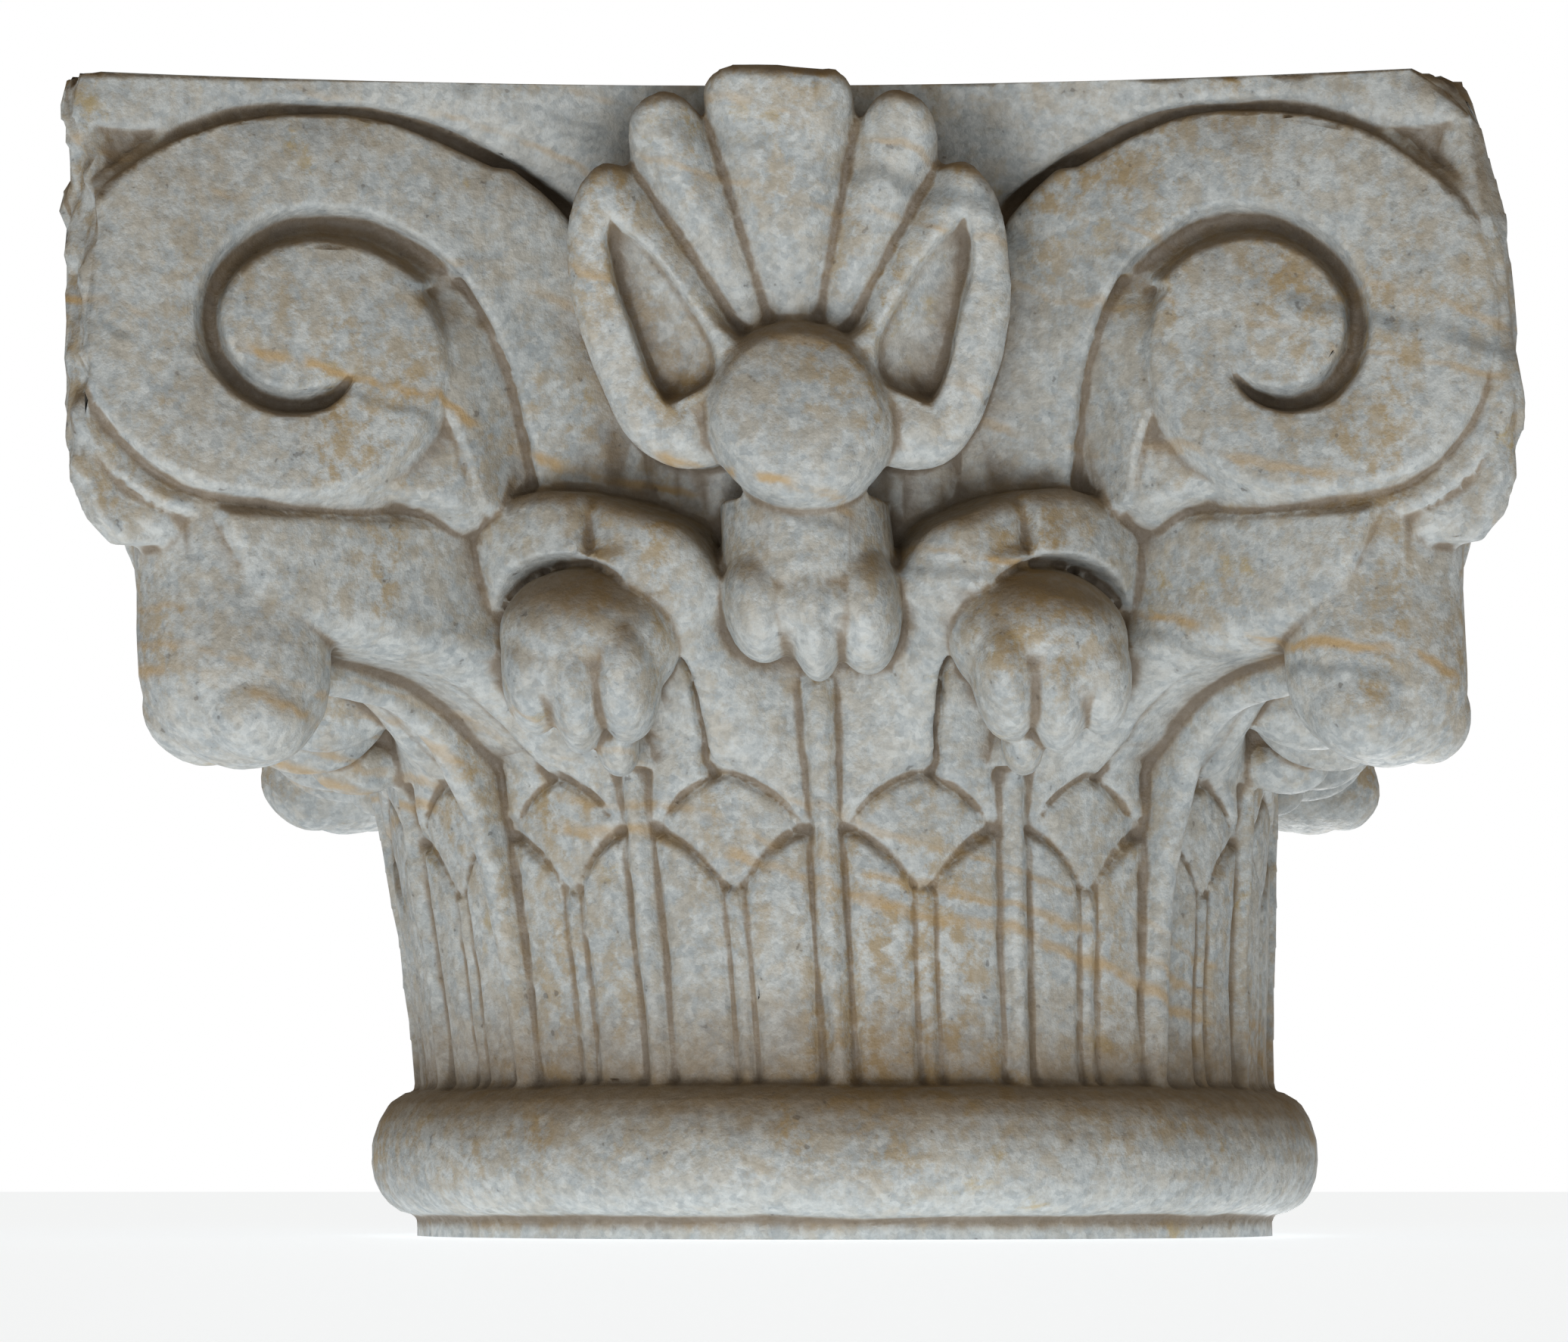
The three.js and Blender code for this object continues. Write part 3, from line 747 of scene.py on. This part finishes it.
def mesh_object(name, points, faces):
    """Makes an object from points in millimetres and quads, some of which are triangles."""
    mesh = bpy.data.meshes.new(name)
    triangle = faces[:, 2] == faces[:, 3]
    loops = np.concatenate([faces[~triangle].ravel(), faces[triangle][:, :3].ravel()]).astype(np.int32)
    counts = np.concatenate([np.full((~triangle).sum(), 4), np.full(triangle.sum(), 3)])
    starts = np.concatenate([[0], np.cumsum(counts)[:-1]]).astype(np.int32)
    mesh.vertices.add(len(points))
    mesh.vertices.foreach_set("co", (points * MILLI).astype(np.float32).ravel())
    mesh.loops.add(len(loops))
    mesh.loops.foreach_set("vertex_index", loops)
    mesh.polygons.add(len(counts))
    mesh.polygons.foreach_set("loop_start", starts)
    mesh.update(calc_edges=True)
    mesh.validate()
    thing = bpy.data.objects.new(name, mesh)
    bpy.context.scene.collection.objects.link(thing)
    return thing


def apply_modifier(thing, kind, **settings):
    """Adds a modifier, gives it its settings and applies it."""
    modifier = thing.modifiers.new(kind.lower(), kind)
    for key, value in settings.items():
        setattr(modifier, key, value)
    bpy.context.view_layer.objects.active = thing
    bpy.ops.object.modifier_apply(modifier=modifier.name)


capital = mesh_object("marble_carving", np.concatenate(shell_points), np.concatenate(shell_faces))
print("shell points:", shell_count)
apply_modifier(capital, "REMESH", mode="VOXEL", voxel_size=VOXEL * MILLI, adaptivity=0.0)
apply_modifier(capital, "SMOOTH", factor=RASP, iterations=RASP_ROUNDS)
print("fused points:", len(capital.data.vertices))

# %% [markdown]
# ## Where dirt settles and where shade is painted
# Dust and soot stay in grooves. To find them, the skin is smoothed until it no longer follows them:
# where the smoothed skin lies above the real one there is a hollow. A few rounds of smoothing give the
# narrow grooves, many give the broad hollows. The broad map also paints shade in deep recesses, as under
# the hoods and round the leaf tips. The pointiness of a shader would change with the mesh and is lost in
# an export, so both maps are kept on the mesh as attributes. They are made while its points are still
# evenly spaced.

# %% Hollows
def vertex_array(mesh, what):
    """Reads a vector of every vertex into an array."""
    flat = np.empty(len(mesh.vertices) * 3, np.float32)
    mesh.vertices.foreach_get(what, flat)
    return flat.reshape(-1, 3).astype(float)


def keep_attribute(name, values):
    """Stores one number for every vertex, for the material to read."""
    layer = capital.data.attributes.new(name, "FLOAT", "POINT")
    layer.data.foreach_set("value", values.astype(np.float32))


def relaxed(place, rounds):
    """Moves every point to the middle of its neighbours, many times."""
    for _ in range(rounds):
        sides = [np.bincount(first, place[second, i], len(place)) / ties for i in range(3)]
        place = np.stack(sides, axis=1)
    return place


NARROW_DEPTH = 1.0
BROAD_DEPTH = 4.0
NARROW_ROUNDS = 6
BROAD_ROUNDS = 44
at = vertex_array(capital.data, "co") / MILLI
normal = vertex_array(capital.data, "normal")
edges = np.empty(len(capital.data.edges) * 2, np.int32)
capital.data.edges.foreach_get("vertices", edges)
edges = edges.reshape(-1, 2)
first = np.concatenate([edges[:, 0], edges[:, 1]])
second = np.concatenate([edges[:, 1], edges[:, 0]])
ties = np.maximum(np.bincount(first, minlength=len(at)), 1)
narrow = relaxed(at, NARROW_ROUNDS)
broad = relaxed(narrow, BROAD_ROUNDS)
groove = np.einsum("ij,ij->i", narrow - at, normal)
hollow = np.einsum("ij,ij->i", broad - at, normal)
keep_attribute("groove", np.clip(groove / NARROW_DEPTH, -1, 1))
# The broad map carries painted shade as well as dirt: it darkens broad recesses where shade falls.
keep_attribute("hollow", np.clip(hollow / BROAD_DEPTH, -1, 1))
print("narrow grooves, mm:", np.percentile(groove, [5, 50, 90, 97, 99.5]).round(2))
print("broad hollows, mm:", np.percentile(hollow, [5, 50, 90, 97, 99.5]).round(2))

# %% [markdown]
# ## Thinning the skin
# The remesh spends as many faces on a flat bed as on a crease. Collapsing the least useful edges keeps
# them where the carving turns, and the maps of the hollows come along.

# %% Thin the skin
TRIANGLES = 190000
ratio = TRIANGLES / (2 * len(capital.data.polygons))
apply_modifier(capital, "DECIMATE", decimate_type="COLLAPSE", ratio=ratio)
print("thinned to", len(capital.data.polygons), "faces")

# %% [markdown]
# ## The two beds
# The beds of the real block are dressed flat, and smoothing has rounded them here. Moving the points to
# a plane would bend the edges. So the carving was made a little too tall at both ends, and cutting it
# off along two planes gives the flat beds and sharp edges that a dressed face has.

# %% Cut the beds
def cut_bed(form, height, up):
    """Cuts a mesh off at a height, in millimetres, and closes it with a flat face."""
    geometry = form.verts[:] + form.edges[:] + form.faces[:]
    bmesh.ops.bisect_plane(form, geom=geometry, plane_co=(0, 0, height * MILLI), plane_no=(0, 0, up),
                           clear_outer=True)
    open_edges = [edge for edge in form.edges if edge.is_boundary]
    bmesh.ops.triangle_fill(form, edges=open_edges, use_beauty=False, normal=(0, 0, up))


form = bmesh.new()
form.from_mesh(capital.data)
cut_bed(form, 0.0, -1)
cut_bed(form, HEIGHT, 1)
open_left = sum(edge.is_boundary for edge in form.edges)
form.to_mesh(capital.data)
form.free()
print("faces after cutting the beds:", len(capital.data.polygons), "open edges:", open_left)

# %% [markdown]
# ## The hand of the mason and the years
# Carved stone is never true. Slow waves of a fraction of a millimetre take the machine look off it, the
# corners are chipped where blocks were let down on them, and the whole block leans a little to one side.
# The points themselves are moved, because a bump in the material wouldn't change the outline.

# %% Unevenness, chips and lean
def waves(at, length, seed, count=14):
    """Slow unevenness made of crossed waves, about -1 to 1; the seed fixes their directions."""
    draw = np.random.default_rng(seed)
    total = np.zeros(len(at))
    for _ in range(count):
        direction = draw.normal(size=3)
        direction *= 2 * math.pi / length / np.linalg.norm(direction) * draw.uniform(0.7, 1.4)
        total += np.sin(at @ direction + draw.uniform(0, 2 * math.pi))
    return total / math.sqrt(count)


ROUGH = 0.45
FINE = 0.22
CHIP_REACH = 70
LEAN = 0.059
CHIPS = [((262, -272, 430), (0.62, -0.5, 0.6), 5.0), ((-269, -270, 441), (-0.7, -0.45, 0.55), 3.0),
         ((-272, -264, 352), (-0.8, -0.6, 0.1), 7.5), ((266, 262, 438), (0.6, 0.5, 0.62), 4.0),
         ((-262, 268, 436), (-0.5, 0.6, 0.6), 4.0), ((0, -288, 446), (0.1, -0.6, 0.8), 3.0)]
at = vertex_array(capital.data, "co") / MILLI
normal = vertex_array(capital.data, "normal")
to_bed = smooth(np.minimum(at[:, 2], HEIGHT - at[:, 2]) / 4)
uneven = ROUGH * waves(at, 60, 1) + FINE * waves(at, 19, 2)
at = at + normal * (uneven * to_bed)[:, None]
for place, facing, rough in CHIPS:
    facing = np.array(facing) / np.linalg.norm(facing)
    over = (at - np.array(place)) @ facing + rough * 0.25 * waves(at, 16, 7)
    near = np.linalg.norm(at - np.array(place), axis=1) < CHIP_REACH
    at = at - facing * (np.clip(over, 0, None) * near)[:, None]
OUT_LEFT = [(170, 0), (205, 5), (240, 5), (275, 6), (350, 7.5), (450, 6.5)]
OUT_RIGHT = [(170, 0), (205, 5), (240, 5), (275, 2.2), (350, 2), (440, 0)]
left_out = curve(OUT_LEFT, at[:, 2]) * smooth((-at[:, 0] - 110) / 130)
left_out = left_out * smooth((np.abs(at[:, 1]) - 70) / 90)
right_out = curve(OUT_RIGHT, at[:, 2]) * smooth((at[:, 0] - 130) / 110)
at[:, 0] -= left_out + right_out
at[:, 0] -= LEAN * np.clip(at[:, 2] - TORUS_TOP, 0, None)
at[:, 2] = np.clip(at[:, 2], 0, HEIGHT)
capital.data.vertices.foreach_set("co", (at * MILLI).astype(np.float32).ravel())
capital.data.shade_smooth()
capital.data.update()
print("corners pushed out by up to, mm:", left_out.max().round(1), right_out.max().round(1))

# %% [markdown]
# ## Marble
# The stone is a coarse white island marble, sawn, rasped and then weathered out of doors. Its crystals
# are 2 to 3 mm across and give a grey and white mottle and a slightly sugary skin. A beige patina lies
# over it, thinner on the undersides as painted light, brown soot in the hollows with painted shade in
# the deeper recesses and on the faces that look up, and a few ochre and grey veins cross the block on
# slanted planes. A picture wrapped round it would stretch and show seams. So everything is worked out
# from places in the block, in metres, and the pattern runs through it as in real stone.

# %% Node helpers
marble = bpy.data.materials.new("weathered_marble")
marble.use_nodes = True
tree = marble.node_tree
shader = tree.nodes["Principled BSDF"]


def linear(colour):
    """Turns an sRGB hex colour into the linear values that the shader works with."""
    parts = [int(colour[i:i + 2], 16) / 255 for i in (1, 3, 5)]
    return [p / 12.92 if p <= 0.04045 else ((p + 0.055) / 1.055) ** 2.4 for p in parts] + [1.0]


def node(kind, inputs=None, **settings):
    """Adds a node with its settings; an input is either a number or the socket that feeds it."""
    made = tree.nodes.new(kind)
    for key, value in settings.items():
        setattr(made, key, value)
    for key, value in (inputs or {}).items():
        if isinstance(value, bpy.types.NodeSocket):
            tree.links.new(value, made.inputs[key])
        else:
            made.inputs[key].default_value = value
    return made


place = node("ShaderNodeTexCoord").outputs["Object"]


def spots(size, detail=4.0, rough=0.55, twist=0.0, at=None):
    """Cloudy noise whose lumps are about the given size in millimetres."""
    settings = {"Vector": place if at is None else at, "Scale": 1000 / size, "Detail": detail,
                "Roughness": rough, "Distortion": twist}
    return node("ShaderNodeTexNoise", settings).outputs["Fac"]


def spread(value, low, high, to_low=0.0, to_high=1.0):
    """Stretches a value from one range to another, with soft ends."""
    settings = {"Value": value, "From Min": low, "From Max": high, "To Min": to_low, "To Max": to_high}
    return node("ShaderNodeMapRange", settings, interpolation_type="SMOOTHSTEP").outputs["Result"]


def sums(kind, a, b=0.0, c=0.0):
    """One step of arithmetic."""
    return node("ShaderNodeMath", {0: a, 1: b, 2: c}, operation=kind).outputs[0]


def blend(share, below, above):
    """Lays one colour over another."""
    return node("ShaderNodeMix", {0: share, 6: below, 7: above}, data_type="RGBA").outputs[2]


# %% [markdown]
# ### The crystals
# Each crystal of this marble is 2 to 3 mm wide and catches the light in its own way. Noise alone would
# look like cloud, so a cell pattern of 3 mm gives each crystal its own grey, and clouds of 5 and 42 mm
# group them.

# %% Crystals
CRYSTAL = 3.0
FINE_CLOUD = 5
BROAD_CLOUD = 42
WHITE = linear("#C3C7C6")
GREY = linear("#969DA0")
crystals = node("ShaderNodeTexVoronoi", {"Vector": place, "Scale": 1000 / CRYSTAL}, feature="F1")
crystal_tone = node("ShaderNodeSeparateColor", {0: crystals.outputs["Color"]}).outputs[0]
fine_cloud = sums("MULTIPLY", spread(spots(FINE_CLOUD, 5, 0.7), 0.3, 0.7), 0.55)
broad_cloud = sums("MULTIPLY", spread(spots(BROAD_CLOUD, 3), 0.35, 0.65), 0.25)
mottle = sums("ADD", sums("ADD", fine_cloud, sums("MULTIPLY", crystal_tone, 0.35)), broad_cloud)
colour = blend(spread(mottle, 0.0, 1.15), WHITE, GREY)

# %% [markdown]
# ### The patina
# Iron in rain water leaves a thin beige skin in flakes of 10 to 50 mm, in streaks that run down the
# stone. Less of it lies on what faces down, which is painted whiter as painted light from below, and the
# faces that look up are painted more beige as painted shade. Old lichen has left a few yellow stains as
# wide as a thumb. It could be painted by hand; noise with its real sizes gives the same look on the
# hidden sides.

# %% Patina
BEIGE = linear("#A08B65")
PATCH = 48
FLAKE = 9
streaked = node("ShaderNodeVectorMath", {0: place, 1: (1.0, 1.0, 0.4)}, operation="MULTIPLY").outputs[0]
patches = spread(spots(PATCH, 5, 0.62, 0.6, streaked), 0.44, 0.66)
flakes = spread(spots(FLAKE, 5, 0.7), 0.40, 0.62)
facing = node("ShaderNodeSeparateXYZ", {0: node("ShaderNodeNewGeometry").outputs["Normal"]}).outputs["Z"]
# Painted light: less beige on faces that look down, so the undersides stay whiter; faces that look up get
# more, as painted shade.
rain_patina_and_painted_light = spread(facing, -0.75, 0.25, 0.3, 1.0)
patchy = sums("ADD", sums("MULTIPLY", patches, 0.55), 0.42)
patina_with_painted_light = sums("MULTIPLY", patchy, sums("MULTIPLY", flakes, rain_patina_and_painted_light))
colour = blend(patina_with_painted_light, colour, BEIGE)

# %% Lichen stains
YELLOW = linear("#A8904F")
THUMB = 34
stain = sums("MULTIPLY", spread(spots(THUMB, 5, 0.68, 0.3), 0.60, 0.72, 0.0, 0.55), flakes)
colour = blend(stain, colour, YELLOW)

# %% [markdown]
# ### The veins
# Veins are thin layers in the stone. Each is a slanted plane through the block, bent by noise, and is
# seen where the carving happens to cut it. `lay` is the height in millimetres at which it crosses the
# axis.

# %% Veins
OCHRE = linear("#B2935F")
SLATE = linear("#5C6468")
VEIN_TILT = (0.27, 0.12, 1.0)
VEINS = [(118, 2.6, OCHRE, 0.62), (129, 2.0, OCHRE, 0.5), (144, 1.4, OCHRE, 0.35), (252, 2.2, OCHRE, 0.8),
         (243, 2.6, SLATE, 0.5), (311, 2.0, OCHRE, 0.45), (364, 1.6, OCHRE, 0.4), (378, 4.0, SLATE, 0.5),
         (391, 1.6, OCHRE, 0.4)]
across_veins = node("ShaderNodeVectorMath", {0: place, 1: VEIN_TILT}, operation="DOT_PRODUCT")
bent = sums("MULTIPLY_ADD", spots(85, 4, 0.6), 0.034, across_veins.outputs["Value"])
bent = sums("MULTIPLY_ADD", spots(9, 3, 0.6), 0.004, sums("SUBTRACT", bent, 0.019))
broken = spread(spots(38, 4, 0.6, 0.4), 0.42, 0.6)
for lay, thick, tone, strength in VEINS:
    gap = sums("ABSOLUTE", sums("SUBTRACT", bent, lay * MILLI))
    vein = spread(gap, 0.2 * thick * MILLI, 1.6 * thick * MILLI, strength, 0.0)
    colour = blend(sums("MULTIPLY", vein, broken), colour, tone)

# %% [markdown]
# ### Soot, dirt and painted shade
# Rain washes what stands out, and soot stays in the grooves and on the ledge of the foot ring. The same
# brown also paints shade: in broad recesses, on the faces that look up, and as a painted shadow of the
# foot ring on the reeds just above it. One even brown wash would look painted, so the mask reads the two
# hollow maps and how far the skin faces up, and noise breaks it up. It is brown, darker and greyer in the
# deepest places, partly soot and partly painted shade, and small dark specks lie all over. The dressed
# upper bed was covered by the next block and has stayed cleaner, so it gets less of the brown.

# %% Dirt
BROWN = linear("#73592E")
SOOT_AND_DEEP_SHADE = linear("#4A4036")
SPECK = 5
BED_FROM, BED_TO = 449.2, 449.9
groove_map = node("ShaderNodeAttribute", attribute_name="groove").outputs["Fac"]
hollow_dirt_and_shade_map = node("ShaderNodeAttribute", attribute_name="hollow").outputs["Fac"]
ragged = sums("ADD", sums("MULTIPLY", spots(11, 5, 0.7), 0.6), sums("MULTIPLY", spots(55, 4, 0.6), 0.6))
in_grooves = spread(sums("ADD", groove_map, sums("MULTIPLY", ragged, 0.4)), 0.28, 0.85)
# Painted shade with some dirt: broad recesses are darkened where shade falls.
hollow_dirt_and_painted_shade = spread(sums("ADD", hollow_dirt_and_shade_map, sums("MULTIPLY", ragged, 0.6)), 0.42, 1.3)
# Painted shade with some dust: faces that look up are darkened, as they lie in shade under light from
# below.
top_dust_and_painted_shade = spread(sums("ADD", facing, sums("MULTIPLY", ragged, 0.7)), 0.35, 1.2)
height = node("ShaderNodeSeparateXYZ", {0: place}).outputs["Z"]
# Dirt on the foot ring's ledge, and a painted shadow of the foot ring on the lowest reeds above it.
ledge_dirt_and_painted_shadow = spread(sums("MULTIPLY_ADD", ragged, -0.06, height), 0.015, 0.075, 0.75, 0.0)
ledge_dirt_and_painted_shadow = sums("MULTIPLY", ledge_dirt_and_painted_shadow, spread(height, 0.05, 0.06))
# The brown mask is partly dirt and partly painted shade.
dirt_and_painted_shade = sums("MAXIMUM", sums("MULTIPLY", in_grooves, 0.68), sums("MULTIPLY", hollow_dirt_and_painted_shade, 0.6))
dirt_and_painted_shade = sums("MAXIMUM", dirt_and_painted_shade, sums("MAXIMUM", ledge_dirt_and_painted_shadow, sums("MULTIPLY", top_dust_and_painted_shade, 0.8)))
dirt_and_painted_shade = sums("MULTIPLY", dirt_and_painted_shade, spread(height, BED_FROM * MILLI, BED_TO * MILLI, 1.0, 0.25))
colour = blend(dirt_and_painted_shade, colour, BROWN)
# Painted deep shade with soot: darker and greyer where grooves and recesses meet.
soot_and_painted_deep_shade = sums("MULTIPLY", dirt_and_painted_shade, sums("MULTIPLY", hollow_dirt_and_painted_shade, in_grooves))
colour = blend(sums("MULTIPLY", soot_and_painted_deep_shade, 0.8), colour, SOOT_AND_DEEP_SHADE)
specks = spread(spots(SPECK, 2, 0.5), 0.71, 0.76)
colour = blend(sums("MULTIPLY", specks, 0.45), colour, SOOT_AND_DEEP_SHADE)
tree.links.new(colour, shader.inputs["Base Color"])

# %% [markdown]
# ### The skin
# Weathered marble is dull, with a roughness near 0.6 and an IOR of 1.5. The crystals stand out by a
# tenth of a millimetre, and flaked patina and tool marks by a little more. That is too fine for the
# mesh, so it is a bump, and it gives the eye a slightly sugary, rubbed surface.

# %% Skin
MARBLE_IOR = 1.5
GRAIN = 3.2
TOOL_MARK = 12
SKIN_DEPTH = 1.2
shader.inputs["IOR"].default_value = MARBLE_IOR
tree.links.new(spread(mottle, 0.1, 1.2, 0.52, 0.72), shader.inputs["Roughness"])
grain = sums("MULTIPLY", spots(GRAIN, 3, 0.6), 0.5)
skin = sums("ADD", grain, sums("MULTIPLY", spots(TOOL_MARK, 5, 0.65), 0.9))
skin = sums("ADD", skin, sums("MULTIPLY", flakes, 0.12))
relief = node("ShaderNodeBump", {"Height": skin, "Strength": 0.85, "Distance": SKIN_DEPTH * MILLI})
tree.links.new(relief.outputs["Normal"], shader.inputs["Normal"])
capital.data.materials.append(marble)
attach(capital, "root")
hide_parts("marble_capital")
print("marble made of", len(tree.nodes), "nodes")

# %% [markdown]
# ## Floor and light
# The capital stood high on its column, and light came up to it from the street. A lamp above would light
# the wrong sides of the carving. So in the studio it stands on a pale glowing sheet, as on a light
# table, with one soft lamp low in front and one low behind. The floor throws no shadow, so that their
# light comes through it.

# %% Floor
floor_mesh = bpy.data.meshes.new("floor")
floor_mesh.from_pydata([(-8, -8, 0), (8, -8, 0), (8, 8, 0), (-8, 8, 0)], [], [(0, 1, 2, 3)])
floor = bpy.data.objects.new("floor", floor_mesh)
bpy.context.scene.collection.objects.link(floor)
pale = bpy.data.materials.new("pale_acrylic_sheet")
pale.use_nodes = True
glow = pale.node_tree.nodes["Principled BSDF"].inputs
glow["Base Color"].default_value = linear("#E8E8E6")
glow["Emission Color"].default_value = linear("#F1F6FB")
glow["Emission Strength"].default_value = 0.8
floor_mesh.materials.append(pale)
floor.visible_shadow = False

# %% World and lamps
scene = bpy.context.scene
scene.view_settings.view_transform = "Standard"
world = bpy.data.worlds.new("pale_studio")
scene.world = world
world.use_nodes = True
tree = world.node_tree
seen = node("ShaderNodeLightPath").outputs["Is Camera Ray"]
ROOM = 0.23
background = tree.nodes["Background"]
tree.links.new(blend(seen, linear("#FFEFD8"), linear("#FFFFFF")), background.inputs["Color"])
tree.links.new(sums("MULTIPLY_ADD", seen, 1.0 - ROOM, ROOM), background.inputs["Strength"])


def lamp(name, place, aim, size, power):
    """A soft white lamp that is aimed at a point and isn't seen itself."""
    data = bpy.data.lights.new(name, "AREA")
    data.shape = "RECTANGLE"
    data.size, data.size_y = size
    data.energy = power
    thing = bpy.data.objects.new(name, data)
    thing.location = place
    thing.rotation_euler = (Vector(aim) - Vector(place)).to_track_quat("-Z", "Y").to_euler()
    thing.visible_camera = False
    scene.collection.objects.link(thing)


lamp("low_front", (-0.3, -1.6, -0.8), (0.0, -0.15, 0.25), (0.7, 0.5), 11)
lamp("low_back", (0.3, 1.7, -0.8), (0.0, 0.15, 0.25), (0.7, 0.5), 9)
print("lamps:", len(bpy.data.lights))
